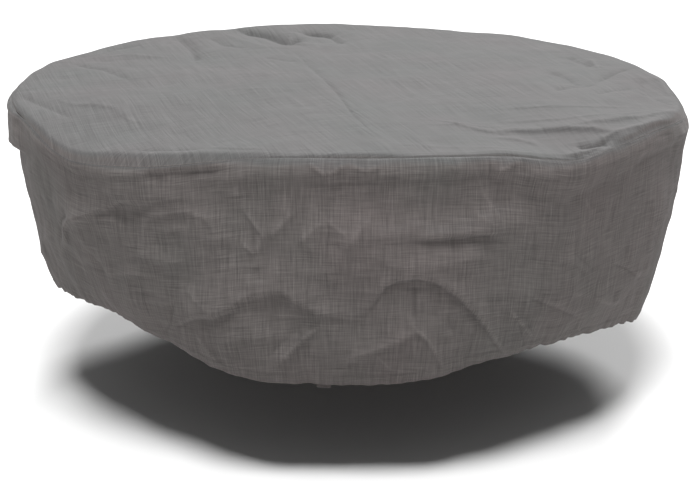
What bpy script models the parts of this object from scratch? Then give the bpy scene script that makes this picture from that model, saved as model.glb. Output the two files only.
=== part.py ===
"""Round patio furniture cover: a flat top panel, a drawn-in skirt and a small blank tab.

Metres, +Z up. The origin is under the middle of the top panel, where the furniture
would hold the cover up. Angles run anticlockwise from +X, and -Y is the front.
The tables give the inner face of the cloth, and Solidify adds its thickness outside.
"""
import math

import bmesh
import bpy
from mathutils import Matrix, Vector

CLOTH_THICKNESS = 0.002
PIECE_GAP = 0.0004

SEGMENTS = 96
SEGMENT_ANGLE = 2 * math.pi / SEGMENTS

# How far along the way from the centre to the ridge each ring of the top panel lies.
TOP_RINGS = (0.14, 0.36, 0.58, 0.76, 0.90, 1.0)
TOP_DISH_POWER = 3.2
OVERHANG_BULGE = 0.12

SHOULDER_DROP = 0.042
SHOULDER_REACH = 0.020
SHOULDER_STEPS = (0.0, 0.4, 0.75, 1.0)
WALL_STEPS = (0.08, 0.16, 0.205, 0.32, 0.45, 0.58, 0.71, 0.83, 0.93, 1.0)
DRAW_IN_SHARE = 0.42
DRAW_IN_POWER = 6.0
UNDERCUT_DEPTH = 0.007
UNDERCUT_PLACE = 0.13
UNDERCUT_SPREAD = 0.10

# The slack flap at the left: the skirt bellies out, ends in a lip and tucks back in.
FLAP_ANGLE = math.radians(-168.0)
FLAP_HALF_ANGLE = math.radians(9.5)
FLAP_DEPTH = 0.034
FLAP_TOP = -0.030
FLAP_LIP = -0.150
FLAP_TUCK = 0.026

TAB_ANGLE = math.radians(-94.2)
TAB_WIDTH = 0.039
TAB_LENGTH = 0.034
TAB_THICKNESS = 0.0012
TAB_SHOWING = 0.012

# Sections of the draped cover. The ridge is where the top panel turns down, the seam
# joins it to the skirt, and the wall is the skirt below its rolled shoulder.
SECTION_COLUMNS = (
    "angle", "ridge_radius", "ridge_height", "seam_radius", "seam_height",
    "wall_radius", "hem_radius", "hem_height",
)
SECTIONS = (
    (-180, 1.014, -0.010, 1.040, -0.028, 1.030, 0.915, -0.605),
    (-170, 1.016, -0.012, 1.040, -0.027, 1.032, 0.924, -0.606),
    (-163, 1.014, -0.016, 1.037, -0.029, 1.032, 0.930, -0.584),
    (-156, 1.010, -0.022, 1.031, -0.036, 1.030, 0.930, -0.568),
    (-150, 1.012, -0.035, 1.031, -0.052, 1.028, 0.922, -0.560),
    (-144, 1.015, -0.055, 1.034, -0.076, 1.024, 0.912, -0.560),
    (-138, 1.012, -0.063, 1.036, -0.088, 1.024, 0.907, -0.564),
    (-131, 1.000, -0.050, 1.034, -0.080, 1.025, 0.906, -0.576),
    (-120, 0.988, -0.024, 1.028, -0.057, 1.027, 0.925, -0.605),
    (-112, 0.985, -0.010, 1.020, -0.032, 1.030, 0.958, -0.632),
    (-105, 0.985, -0.002, 1.013, -0.012, 1.033, 0.982, -0.639),
    (-97, 0.987, 0.002, 1.012, -0.003, 1.034, 0.968, -0.640),
    (-86, 0.987, 0.002, 1.012, -0.003, 1.034, 0.960, -0.647),
    (-76, 0.987, 0.000, 1.012, -0.006, 1.034, 0.978, -0.627),
    (-66, 0.984, -0.008, 1.012, -0.018, 1.033, 0.955, -0.607),
    (-58, 0.980, -0.022, 1.016, -0.044, 1.031, 0.925, -0.613),
    (-53, 0.978, -0.028, 1.020, -0.058, 1.029, 0.912, -0.617),
    (-45, 0.980, -0.024, 1.018, -0.048, 1.029, 0.905, -0.622),
    (-32, 0.985, -0.022, 1.018, -0.042, 1.031, 0.930, -0.642),
    (-21, 0.998, -0.030, 1.024, -0.056, 1.040, 0.926, -0.668),
    (-10, 1.004, -0.044, 1.030, -0.076, 1.044, 0.890, -0.670),
    (2, 0.996, -0.036, 1.030, -0.066, 1.042, 0.882, -0.660),
    (15, 0.990, -0.027, 1.030, -0.050, 1.038, 0.912, -0.642),
    (30, 0.988, -0.014, 1.029, -0.031, 1.035, 0.925, -0.622),
    (45, 0.982, -0.010, 1.023, -0.023, 1.033, 0.905, -0.615),
    (60, 0.976, -0.010, 1.013, -0.020, 1.031, 0.925, -0.620),
    (75, 0.978, -0.006, 1.008, -0.012, 1.032, 0.968, -0.635),
    (90, 0.980, 0.000, 1.008, -0.003, 1.032, 0.958, -0.640),
    (105, 0.980, 0.003, 1.008, -0.001, 1.032, 0.972, -0.634),
    (120, 0.976, 0.002, 1.010, -0.004, 1.032, 0.930, -0.612),
    (135, 0.978, 0.001, 1.016, -0.009, 1.032, 0.908, -0.590),
    (150, 0.990, -0.002, 1.026, -0.018, 1.030, 0.925, -0.588),
    (165, 1.004, -0.006, 1.036, -0.028, 1.028, 0.930, -0.598),
)

# Main folds of the skirt, each a straight run. A positive depth stands out.
FOLD_COLUMNS = (
    "start_angle", "start_height", "end_angle", "end_height", "half_width", "depth",
)
FOLDS = (
    (-134, -0.155, -148, -0.285, 0.035, -0.014),
    (-131, -0.190, -143, -0.300, 0.030, 0.012),
    (-131, -0.110, -122, -0.130, 0.030, -0.010),
    (-97, -0.120, -88, -0.060, 0.040, -0.010),
    (-86, -0.400, -81, -0.325, 0.035, 0.012),
    (-81, -0.325, -71, -0.385, 0.035, 0.012),
    (-71, -0.385, -66, -0.520, 0.035, 0.012),
    (-80, -0.420, -77, -0.520, 0.045, -0.012),
    (-77, -0.235, -67, -0.225, 0.030, -0.010),
    (-121, -0.420, -108, -0.360, 0.035, 0.010),
    (-108, -0.360, -92, -0.420, 0.035, 0.010),
    (-128, -0.350, -122, -0.450, 0.035, -0.010),
    (-58, -0.380, -46, -0.430, 0.035, -0.010),
    (-30, -0.300, -22, -0.380, 0.040, -0.010),
    (20, -0.200, 34, -0.360, 0.045, -0.013),
    (48, -0.420, 64, -0.330, 0.040, 0.012),
    (82, -0.180, 98, -0.260, 0.045, -0.010),
    (112, -0.470, 128, -0.330, 0.040, -0.012),
    (140, -0.200, 152, -0.360, 0.045, 0.012),
    (168, -0.280, 180, -0.440, 0.040, -0.010),
)


def remove_everything():
    for thing in list(bpy.data.objects):
        bpy.data.objects.remove(thing, do_unlink=True)


def section_at(angle):
    """Every column of SECTIONS at an angle in radians, on a smooth closed curve."""
    degrees = (math.degrees(angle) + 180.0) % 360.0 - 180.0
    count = len(SECTIONS)
    row = max(i for i in range(count) if SECTIONS[i][0] <= degrees + 1e-9)
    rows = [SECTIONS[(row + step) % count] for step in (-1, 0, 1, 2)]
    here = rows[1][0]
    before, after, beyond = ((rows[i][0] - here) % 360.0 for i in (0, 2, 3))
    before -= 360.0
    span = after
    t = (degrees - here) / span
    values = {}
    for column, name in enumerate(SECTION_COLUMNS[1:], start=1):
        y0, y1, y2, y3 = (r[column] for r in rows)
        slope_1 = (y2 - y0) / (after - before) * span
        slope_2 = (y3 - y1) / beyond * span
        values[name] = (
            (2 * t**3 - 3 * t**2 + 1) * y1 + (t**3 - 2 * t**2 + t) * slope_1
            + (3 * t**2 - 2 * t**3) * y2 + (t**3 - t**2) * slope_2
        )
    return values


def top_profile(section):
    """(radius, height) of the top panel from its innermost ring out to the seam."""
    ridge = (section["ridge_radius"], section["ridge_height"])
    seam = (section["seam_radius"], section["seam_height"])
    points = []
    for share in TOP_RINGS:
        points.append((share * ridge[0], ridge[1] * share**TOP_DISH_POWER))
    drop = ridge[1] - seam[1]
    middle_radius = (ridge[0] + seam[0]) / 2 + OVERHANG_BULGE * drop
    middle_height = (ridge[1] + seam[1]) / 2 + OVERHANG_BULGE * drop
    points.append((middle_radius, middle_height))
    points.append(seam)
    return points


def skirt_profile(section):
    """(radius, height) of the skirt from the seam, over its shoulder, to the hem."""
    middle, seam = top_profile(section)[-2:]
    run = math.hypot(seam[0] - middle[0], seam[1] - middle[1])
    along = ((seam[0] - middle[0]) / run, (seam[1] - middle[1]) / run)
    start = (seam[0] + PIECE_GAP * along[0], seam[1] + PIECE_GAP * along[1])
    wall_top = (section["wall_radius"], seam[1] - SHOULDER_DROP)
    pull_out = (start[0] + SHOULDER_REACH * along[0], start[1] + SHOULDER_REACH * along[1])
    pull_down = (wall_top[0], wall_top[1] + SHOULDER_REACH)
    points = []
    for t in SHOULDER_STEPS:
        weights = ((1 - t)**3, 3 * t * (1 - t)**2, 3 * t**2 * (1 - t), t**3)
        corners = (start, pull_out, pull_down, wall_top)
        points.append(tuple(sum(w * c[axis] for w, c in zip(weights, corners)) for axis in (0, 1)))
    lean = wall_top[0] - section["hem_radius"]
    for t in WALL_STEPS:
        inward = lean * ((1 - DRAW_IN_SHARE) * t + DRAW_IN_SHARE * t**DRAW_IN_POWER)
        inward += UNDERCUT_DEPTH * math.exp(-((t - UNDERCUT_PLACE) / UNDERCUT_SPREAD)**2)
        height = wall_top[1] + t * (section["hem_height"] - wall_top[1])
        points.append((wall_top[0] - inward, height))
    return points


def fold_offset(angle, height, radius):
    """How far the main folds push the skirt out at one place."""
    total = 0.0
    for row in FOLDS:
        fold = dict(zip(FOLD_COLUMNS, row))
        turn = math.radians(fold["end_angle"] - fold["start_angle"])
        run = Vector((turn * radius, fold["end_height"] - fold["start_height"]))
        away = (angle - math.radians(fold["start_angle"]) + math.pi) % (2 * math.pi) - math.pi
        place = Vector((away * radius, height - fold["start_height"]))
        share = min(max(place.dot(run) / run.length_squared, 0.0), 1.0)
        distance = (place - share * run).length
        total += fold["depth"] * math.exp(-(distance / fold["half_width"])**2)
    return total


def flap_offset(angle, height):
    """How far the slack flap stands out from the rest of the skirt at one place."""
    away = (angle - FLAP_ANGLE + math.pi) % (2 * math.pi) - math.pi
    across = math.exp(-(away / FLAP_HALF_ANGLE)**4)
    if height > FLAP_LIP:
        down = max(FLAP_TOP - height, 0.0) / (FLAP_TOP - FLAP_LIP)
        return FLAP_DEPTH * across * math.sqrt(down)
    return FLAP_DEPTH * across * max(1.0 - (FLAP_LIP - height) / FLAP_TUCK, 0.0)


def segment_angle(index):
    """Angles of the section lines, with the tab in the middle of one facet."""
    return TAB_ANGLE + (index + 0.5) * SEGMENT_ANGLE


def point_on(angle, radius, height):
    return Vector((radius * math.cos(angle), radius * math.sin(angle), height))


def make_sheet(name, rows, centre, collection, material):
    """Quads between rings of points, closed at the centre if there is one."""
    mesh = bpy.data.meshes.new(name)
    shape = bmesh.new()
    rings = [[shape.verts.new(point) for point in row] for row in rows]
    for inner, outer in zip(rings, rings[1:]):
        for i in range(SEGMENTS):
            j = (i + 1) % SEGMENTS
            shape.faces.new((inner[i], outer[i], outer[j], inner[j]))
    if centre is not None:
        middle = shape.verts.new(centre)
        for i in range(SEGMENTS):
            shape.faces.new((middle, rings[0][i], rings[0][(i + 1) % SEGMENTS]))
    shape.to_mesh(mesh)
    shape.free()
    mesh.shade_smooth()
    mesh.materials.append(material)
    sheet = bpy.data.objects.new(name, mesh)
    collection.objects.link(sheet)
    thickness = sheet.modifiers.new("cloth_thickness", "SOLIDIFY")
    thickness.thickness = CLOTH_THICKNESS
    thickness.offset = 1.0
    return sheet


def make_material(name, color, roughness):
    material = bpy.data.materials.new(name)
    material.use_nodes = True
    shader = material.node_tree.nodes["Principled BSDF"]
    shader.inputs["Base Color"].default_value = (*color, 1.0)
    shader.inputs["Roughness"].default_value = roughness
    shader.inputs["Metallic"].default_value = 0.0
    return material


def make_top_panel(collection, material):
    columns = []
    for index in range(SEGMENTS):
        angle = segment_angle(index)
        profile = top_profile(section_at(angle))
        columns.append([point_on(angle, *place) for place in profile])
    rows = list(zip(*columns))
    return make_sheet("top_panel", rows, (0.0, 0.0, 0.0), collection, material)


def skirt_columns():
    columns = []
    for index in range(SEGMENTS):
        angle = segment_angle(index)
        profile = skirt_profile(section_at(angle))
        column = [point_on(angle, *profile[0])]
        for radius, height in profile[1:]:
            clear_of_seam = min((profile[0][1] - height) / SHOULDER_DROP, 1.0)
            pushed = radius + flap_offset(angle, height)
            pushed += clear_of_seam * fold_offset(angle, height, radius)
            column.append(point_on(angle, pushed, height))
        columns.append(column)
    return columns


def make_skirt(collection, material):
    rows = list(zip(*skirt_columns()))
    return make_sheet("skirt", rows, None, collection, material)


def make_hem_tab(collection, material):
    """A flat blank strip, sewn just inside the hem and showing below it."""
    columns = skirt_columns()
    left, right = columns[-1][-1], columns[0][-1]
    middle = (left + right) / 2
    along = (right - left)
    along.z = 0.0
    along.normalize()
    outward = Vector((along.y, -along.x, 0.0))
    lowest = min(left.z, right.z)
    centre = middle - outward * (PIECE_GAP + TAB_THICKNESS / 2)
    centre.z = lowest - TAB_SHOWING + TAB_LENGTH / 2
    mesh = bpy.data.meshes.new("hem_tab")
    shape = bmesh.new()
    bmesh.ops.create_cube(shape, size=1.0)
    bmesh.ops.scale(shape, vec=(TAB_WIDTH, TAB_THICKNESS, TAB_LENGTH), verts=shape.verts)
    turn = Matrix.Rotation(math.atan2(along.y, along.x), 4, "Z")
    bmesh.ops.transform(shape, matrix=Matrix.Translation(centre) @ turn, verts=shape.verts)
    shape.to_mesh(mesh)
    shape.free()
    mesh.materials.append(material)
    tab = bpy.data.objects.new("hem_tab", mesh)
    collection.objects.link(tab)
    return tab


def main():
    remove_everything()
    collection = bpy.data.collections.new("patio_furniture_cover")
    bpy.context.scene.collection.children.link(collection)
    cover_cloth = make_material("cover_cloth", (0.172, 0.160, 0.155), 0.85)
    tab_cloth = make_material("tab_cloth", (0.050, 0.043, 0.040), 0.75)
    make_top_panel(collection, cover_cloth)
    make_skirt(collection, cover_cloth)
    make_hem_tab(collection, tab_cloth)


main()
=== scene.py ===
"""Looks of a round patio furniture cover: draped cloth, sewn seam, gathered hem, blank tab.

Metres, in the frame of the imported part: +Z up, the origin under the middle of the top,
-Y the front. Angles run anticlockwise from +X and are given in degrees.
"""
import math

import bpy
import numpy as np
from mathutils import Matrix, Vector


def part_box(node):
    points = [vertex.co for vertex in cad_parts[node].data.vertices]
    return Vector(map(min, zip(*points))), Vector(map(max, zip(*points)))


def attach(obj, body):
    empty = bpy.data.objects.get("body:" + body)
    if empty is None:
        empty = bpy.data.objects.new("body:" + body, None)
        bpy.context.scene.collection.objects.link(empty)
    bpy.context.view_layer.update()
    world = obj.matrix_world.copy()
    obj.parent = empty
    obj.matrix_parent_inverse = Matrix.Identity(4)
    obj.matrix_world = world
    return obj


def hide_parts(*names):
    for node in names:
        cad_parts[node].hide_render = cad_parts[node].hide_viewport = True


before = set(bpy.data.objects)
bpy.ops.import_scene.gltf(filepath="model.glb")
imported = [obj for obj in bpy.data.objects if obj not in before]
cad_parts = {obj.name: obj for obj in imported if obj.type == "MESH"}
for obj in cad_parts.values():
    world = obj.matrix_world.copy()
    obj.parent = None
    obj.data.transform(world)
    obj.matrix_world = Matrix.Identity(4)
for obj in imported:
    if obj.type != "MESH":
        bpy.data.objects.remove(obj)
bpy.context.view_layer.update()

# ---- driving sizes
CLOTH_THICKNESS = 0.0020
FLOOR_DROP = 0.929

TOP_DISH_POWER = 3.2
TOP_EDGE_SHARE = 0.955
TOP_EDGE_REACH = 0.42
SHOULDER_DROP = 0.042
SHOULDER_REACH = 0.013
SHOULDER_SHARE = 0.075
SHOULDER_LENGTH = 0.048
DRAW_IN_SHARE = 0.42
DRAW_IN_POWER = 6.0
UNDERCUT_DEPTH = 0.007
UNDERCUT_PLACE = 0.13
UNDERCUT_SPREAD = 0.10
SEAM_GAP = 0.0005

FLAP_ANGLE = -168.0
FLAP_HALF_ANGLE = 9.5
FLAP_DEPTH = 0.034
FLAP_TOP = -0.030
FLAP_LIP = -0.150
FLAP_TUCK = 0.022
FLAP_LIP_RISE = 0.0022

# The seam sinks in and the cloth rolls out beside it: most at the front, and least where it
# hangs slack. SEAM_FRONT is gain, angle and reach, and SEAM_SLACK is angle and reach.
GROOVE_DEPTH = 0.0050
GROOVE_WIDTH = 0.0042
ROLL_HEIGHT = 0.0022
ROLL_PLACE = 0.021
ROLL_WIDTH = 0.012
SEAM_PUCKERS = 1.1
SEAM_STRENGTH = 0.4
SEAM_FRONT = (0.6, -80.0, 24.0)
SEAM_SLACK = ((-126.0, 20.0), (-30.0, 22.0))

# The hem: the second layer of its fold, and its gathers in and out and up and down.
HEM_BAND = 0.026
HEM_EXTRA = 0.0011
HEM_GATHER_REACH = 0.045
HEM_GATHER_OUT = 0.0024
HEM_GATHER_UP = 0.0030

# Stitches: pitch, length, sides, and (share of the length, radius, height) of their rings.
STITCH_PITCH = 0.0058
STITCH_LENGTH = 0.0044
STITCH_SIDES = 5
STITCH_RINGS = (
    (0.0, 0.00020, -0.00015),
    (0.18, 0.00042, 0.00018),
    (0.82, 0.00042, 0.00018),
    (1.0, 0.00020, -0.00015),
)
SEAM_STITCH_SHARE = 0.012
HEM_STITCH_SHARE = 0.962

TAB_ANGLE = -94.2
TAB_WIDTH = 0.039
TAB_THICKNESS = 0.0012
TAB_COLUMNS = 27
TAB_ROWS = 17

SKIRT_COLUMNS = 780
SKIRT_ROWS = 97
ROW_FINENESS = ((0.055, 2), (0.11, 1))
FRONT_FINENESS = 0.35
TOP_COLUMNS = 832
TOP_CLEARANCE = 0.0008
DEEPEST_DIP = -0.006
WALL_RADIUS = 1.03

# Sections of the draped cover. They are the frame's, but from -58 to -45 degrees the ridge is
# up to 13 mm further out and 18 mm lower. The ridge is where the top turns down, the seam
# joins it to the skirt, and the wall is the skirt below its shoulder.
SECTION_COLUMNS = (
    "angle", "ridge_radius", "ridge_height", "seam_radius", "seam_height",
    "wall_radius", "hem_radius", "hem_height",
)
SECTIONS = np.array((
    (-180, 1.014, -0.010, 1.040, -0.028, 1.030, 0.915, -0.605),
    (-170, 1.016, -0.012, 1.040, -0.027, 1.032, 0.924, -0.606),
    (-163, 1.014, -0.016, 1.037, -0.029, 1.032, 0.930, -0.584),
    (-156, 1.010, -0.022, 1.031, -0.036, 1.030, 0.930, -0.568),
    (-150, 1.012, -0.035, 1.031, -0.052, 1.028, 0.922, -0.560),
    (-144, 1.015, -0.055, 1.034, -0.076, 1.024, 0.912, -0.560),
    (-138, 1.012, -0.063, 1.036, -0.088, 1.024, 0.907, -0.564),
    (-131, 1.000, -0.050, 1.034, -0.080, 1.025, 0.906, -0.576),
    (-120, 0.988, -0.024, 1.028, -0.057, 1.027, 0.925, -0.605),
    (-112, 0.985, -0.010, 1.020, -0.032, 1.030, 0.958, -0.632),
    (-105, 0.985, -0.002, 1.013, -0.012, 1.033, 0.982, -0.639),
    (-97, 0.987, 0.002, 1.012, -0.003, 1.034, 0.968, -0.640),
    (-86, 0.987, 0.002, 1.012, -0.003, 1.034, 0.960, -0.647),
    (-76, 0.987, 0.000, 1.012, -0.006, 1.034, 0.978, -0.627),
    (-66, 0.984, -0.008, 1.012, -0.018, 1.033, 0.955, -0.607),
    (-58, 0.988, -0.032, 1.016, -0.044, 1.031, 0.925, -0.613),
    (-53, 0.991, -0.046, 1.020, -0.058, 1.029, 0.912, -0.617),
    (-45, 0.988, -0.036, 1.018, -0.048, 1.029, 0.905, -0.622),
    (-32, 0.985, -0.022, 1.018, -0.042, 1.031, 0.930, -0.642),
    (-21, 0.998, -0.030, 1.024, -0.056, 1.040, 0.926, -0.668),
    (-10, 1.004, -0.044, 1.030, -0.076, 1.044, 0.890, -0.670),
    (2, 0.996, -0.036, 1.030, -0.066, 1.042, 0.882, -0.660),
    (15, 0.990, -0.027, 1.030, -0.050, 1.038, 0.912, -0.642),
    (30, 0.988, -0.014, 1.029, -0.031, 1.035, 0.925, -0.622),
    (45, 0.982, -0.010, 1.023, -0.023, 1.033, 0.905, -0.615),
    (60, 0.976, -0.010, 1.013, -0.020, 1.031, 0.925, -0.620),
    (75, 0.978, -0.006, 1.008, -0.012, 1.032, 0.968, -0.635),
    (90, 0.980, 0.000, 1.008, -0.003, 1.032, 0.958, -0.640),
    (105, 0.980, 0.003, 1.008, -0.001, 1.032, 0.972, -0.634),
    (120, 0.976, 0.002, 1.010, -0.004, 1.032, 0.930, -0.612),
    (135, 0.978, 0.001, 1.016, -0.009, 1.032, 0.908, -0.590),
    (150, 0.990, -0.002, 1.026, -0.018, 1.030, 0.925, -0.588),
    (165, 1.004, -0.006, 1.036, -0.028, 1.028, 0.930, -0.598),
))

# ---- creases
# Each crease is (depth, width on its left, width on its right, run of points), the sizes in
# millimetres. A positive depth stands out as a ridge, and a negative one goes in. The cloth
# falls away evenly on each side, so a narrow side is steep and a wide one is flat. Left and
# right are those of someone who walks along the run, seen from outside. On the skirt a
# point is (angle, height); on the top it is (x, y).
SKIRT_CREASES = (
    # hook-shaped fold at the left, the slack above it and the bulge below it
    (16.0, 60, 10, ((-148, -0.40), (-145, -0.35), (-144, -0.31), (-141, -0.27), (-135, -0.23),
                   (-131, -0.20), (-128, -0.17), (-122, -0.155))),
    (-10.0, 16, 13, ((-148.5, -0.385), (-147.2, -0.335), (-145, -0.29), (-141, -0.255))),
    (7.0, 16, 60, ((-143, -0.33), (-139, -0.265), (-134, -0.245), (-127, -0.235))),
    (7.0, 40, 24, ((-133, -0.150), (-122, -0.145), (-112, -0.13))),
    (-17.0, 38, 55, ((-123, -0.088), (-116, -0.066), (-108, -0.044))),
    (3.5, 30, 20, ((-152, -0.17), (-146, -0.18), (-139, -0.175))),
    # loop right of the hook, and the tucks below it
    (8.5, 28, 16, ((-124, -0.25), (-122, -0.20), (-118, -0.18), (-115, -0.17), (-112, -0.18),
                   (-110, -0.23))),
    (-3.5, 20, 20, ((-118, -0.23), (-117, -0.29))),
    (9.0, 50, 13, ((-126, -0.315), (-121, -0.325), (-116, -0.32))),
    (5.5, 10, 14, ((-136, -0.395), (-133, -0.415), (-129, -0.395), (-124, -0.38))),
    (-3.0, 14, 14, ((-141, -0.33), (-137, -0.38), (-134, -0.42))),
    # small crossing creases left of the middle
    (5.5, 9, 8, ((-106, -0.14), (-103, -0.21), (-104, -0.28))),
    (5.0, 9, 9, ((-98, -0.14), (-102, -0.22))),
    (4.4, 8, 8, ((-106, -0.24), (-104, -0.27))),
    (-4.0, 14, 14, ((-104, -0.30), (-103.5, -0.345))),
    (3.0, 9, 9, ((-104.5, -0.29), (-105.5, -0.37))),
    (3.0, 12, 12, ((-109, -0.115), (-106, -0.105))),
    # little puckers under the seam
    (6.5, 8, 6, ((-96, -0.012), (-94.5, -0.030), (-93.2, -0.046))),
    (6.5, 8, 6, ((-93.2, -0.046), (-91.8, -0.028), (-90.5, -0.014))),
    (5.5, 8, 6, ((-90, -0.018), (-87.5, -0.032), (-85.5, -0.020))),
    (5.5, 8, 6, ((-68.5, -0.060), (-66, -0.040), (-63.5, -0.030))),
    (4.5, 7, 7, ((-75.5, -0.020), (-74.5, -0.045))),
    # hollow under the rolled shoulder, and the crossing creases below it
    (-6.0, 13, 44, ((-99, -0.080), (-90, -0.072), (-80, -0.066), (-70, -0.066), (-63, -0.085))),
    (4.2, 9, 14, ((-98, -0.24), (-96, -0.20), (-93.5, -0.165))),
    (3.6, 8, 8, ((-93.5, -0.165), (-90.5, -0.205))),
    (5.0, 14, 16, ((-91, -0.255), (-89, -0.20), (-87, -0.155))),
    (5.0, 22, 30, ((-87, -0.215), (-83, -0.20), (-79, -0.19))),
    # long flat tuck right of the middle, and the pocket round it
    (12.0, 36, 6, ((-81, -0.219), (-77, -0.214), (-72, -0.213), (-66.5, -0.219))),
    (-6.0, 5, 16, ((-81, -0.230), (-77, -0.225), (-72, -0.224), (-66.5, -0.230))),
    (4.0, 8, 30, ((-71, -0.09), (-68.5, -0.15), (-67, -0.19), (-66.3, -0.245))),
    (3.4, 10, 10, ((-71, -0.165), (-67.5, -0.205))),
    (7.0, 45, 34, ((-88, -0.235), (-86, -0.27), (-83, -0.295), (-79, -0.30), (-75, -0.292),
                   (-71, -0.28), (-66, -0.288))),
    # big arch at the front
    (11.0, 34, 7, ((-88.5, -0.44), (-86.5, -0.385), (-85, -0.345), (-83, -0.328), (-80, -0.323),
                  (-77, -0.337), (-75, -0.362), (-73, -0.39), (-71, -0.43), (-69, -0.47),
                  (-66, -0.54), (-62.5, -0.605))),
    (-4.2, 5, 10, ((-88, -0.450), (-86, -0.397), (-84.6, -0.357), (-82.8, -0.341), (-80, -0.336),
                   (-77.4, -0.349), (-75.4, -0.374), (-73.4, -0.402), (-71.4, -0.441),
                   (-69.4, -0.481), (-66.5, -0.550), (-63, -0.612))),
    (-6.0, 50, 50, ((-81, -0.42), (-77, -0.44), (-72, -0.52))),
    (-7.0, 8, 8, ((-80.2, -0.345), (-80.2, -0.46))),
    (-3.4, 7, 7, ((-75, -0.44), (-74, -0.50))),
    # long wavy fold low on the left front, and the bulge below it
    (13.0, 50, 11, ((-120.5, -0.525), (-117, -0.49), (-115, -0.47), (-111, -0.452),
                    (-108.5, -0.43), (-107, -0.402), (-105, -0.382), (-102, -0.368),
                    (-100, -0.366), (-98, -0.39), (-95, -0.42), (-90, -0.44))),
    (-6.0, 9, 12, ((-121, -0.540), (-117, -0.503), (-115, -0.483), (-111, -0.465),
                   (-108.5, -0.443), (-106, -0.408))),
    (6.0, 30, 50, ((-114, -0.545), (-106, -0.505), (-100, -0.495), (-95, -0.51))),
    (3.4, 20, 7, ((-103, -0.442), (-97, -0.436), (-91, -0.432))),
    (4.0, 12, 18, ((-116.5, -0.385), (-114.5, -0.42), (-112, -0.44))),
    # small hook at the far left bottom
    (4.4, 20, 6, ((-126, -0.462), (-122, -0.462), (-119, -0.445))),
    (-4.0, 7, 7, ((-119, -0.45), (-120, -0.475), (-121, -0.52), (-124, -0.57))),
    (3.4, 16, 8, ((-131, -0.465), (-126, -0.48))),
    # straight pull lines fanning up from the front hem
    (7.0, 8, 8, ((-115.5, -0.525), (-114, -0.55), (-112, -0.605))),
    (7.5, 9, 8, ((-94.5, -0.462), (-98, -0.52), (-101.5, -0.585))),
    (-3.6, 12, 14, ((-97, -0.46), (-100, -0.51), (-103.5, -0.575))),
    (7.5, 12, 8, ((-92, -0.575), (-86, -0.535), (-80, -0.488))),
    (6.5, 8, 8, ((-80.5, -0.465), (-78, -0.51), (-75, -0.605))),
    (3.2, 8, 8, ((-86, -0.55), (-83.5, -0.60))),
    (-3.6, 14, 12, ((-96, -0.585), (-92, -0.59), (-88, -0.575))),
    (3.2, 10, 8, ((-84, -0.605), (-77, -0.595))),
    (3.0, 12, 8, ((-110, -0.60), (-104, -0.605), (-99, -0.60))),
    # lower right
    (-6.0, 8, 15, ((-61.5, -0.425), (-55, -0.48), (-47, -0.55))),
    (7.0, 8, 8, ((-64.5, -0.455), (-61, -0.51), (-57.5, -0.57))),
    (-3.8, 7, 7, ((-62.5, -0.485), (-58.5, -0.60))),
    (3.6, 6, 6, ((-47, -0.61), (-46, -0.58), (-43.5, -0.615))),
    (8.0, 24, 9, ((-45, -0.485), (-39, -0.53), (-35.5, -0.54))),
    (4.0, 20, 10, ((-53, -0.435), (-45, -0.485))),
    (-3.6, 6, 9, ((-42, -0.395), (-36, -0.44), (-29, -0.51))),
    (3.0, 26, 8, ((-60, -0.315), (-51, -0.36), (-47, -0.41))),
    (-3.4, 10, 14, ((-61, -0.22), (-60, -0.34))),
    (-4.5, 30, 55, ((-61, -0.205), (-54, -0.17), (-45, -0.14))),
    (4.0, 18, 16, ((-65, -0.075), (-59, -0.085), (-54, -0.092))),
    (2.8, 7, 7, ((-71.5, -0.04), (-70, -0.11))),
    (-6.0, 20, 50, ((-40, -0.105), (-30, -0.11), (-18, -0.125))),
    # right side, back and left side
    (4.0, 40, 12, ((-20, -0.26), (-10, -0.32), (-3, -0.42), (0, -0.52))),
    (5.0, 12, 26, ((2, -0.56), (9, -0.44), (20, -0.36))),
    (-5.0, 16, 30, ((14, -0.17), (27, -0.26), (33, -0.40))),
    (9.0, 45, 11, ((30, -0.50), (38, -0.43), (46, -0.41), (54, -0.45), (64, -0.55))),
    (4.0, 12, 14, ((44, -0.18), (52, -0.25), (58, -0.34))),
    (-7.0, 16, 55, ((68, -0.10), (88, -0.08), (108, -0.095))),
    (8.0, 34, 7, ((78, -0.26), (86, -0.25), (97, -0.262))),
    (6.0, 45, 30, ((72, -0.33), (84, -0.36), (96, -0.345), (104, -0.32))),
    (4.4, 9, 9, ((90, -0.47), (95, -0.52), (98, -0.60))),
    (4.0, 9, 9, ((106, -0.48), (101, -0.54), (99, -0.60))),
    (9.0, 36, 9, ((106, -0.52), (112, -0.42), (120, -0.355), (130, -0.345), (140, -0.43))),
    (-5.0, 16, 26, ((134, -0.18), (146, -0.26), (150, -0.36))),
    (5.0, 12, 20, ((148, -0.54), (156, -0.46), (164, -0.42))),
    (8.0, 40, 11, ((158, -0.22), (170, -0.28), (180, -0.40), (-174, -0.50))),
    (4.4, 10, 12, ((-168, -0.52), (-160, -0.43), (-152, -0.37))),
    (-4.0, 10, 14, ((-172, -0.24), (-166, -0.32), (-158, -0.36))),
)
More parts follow.
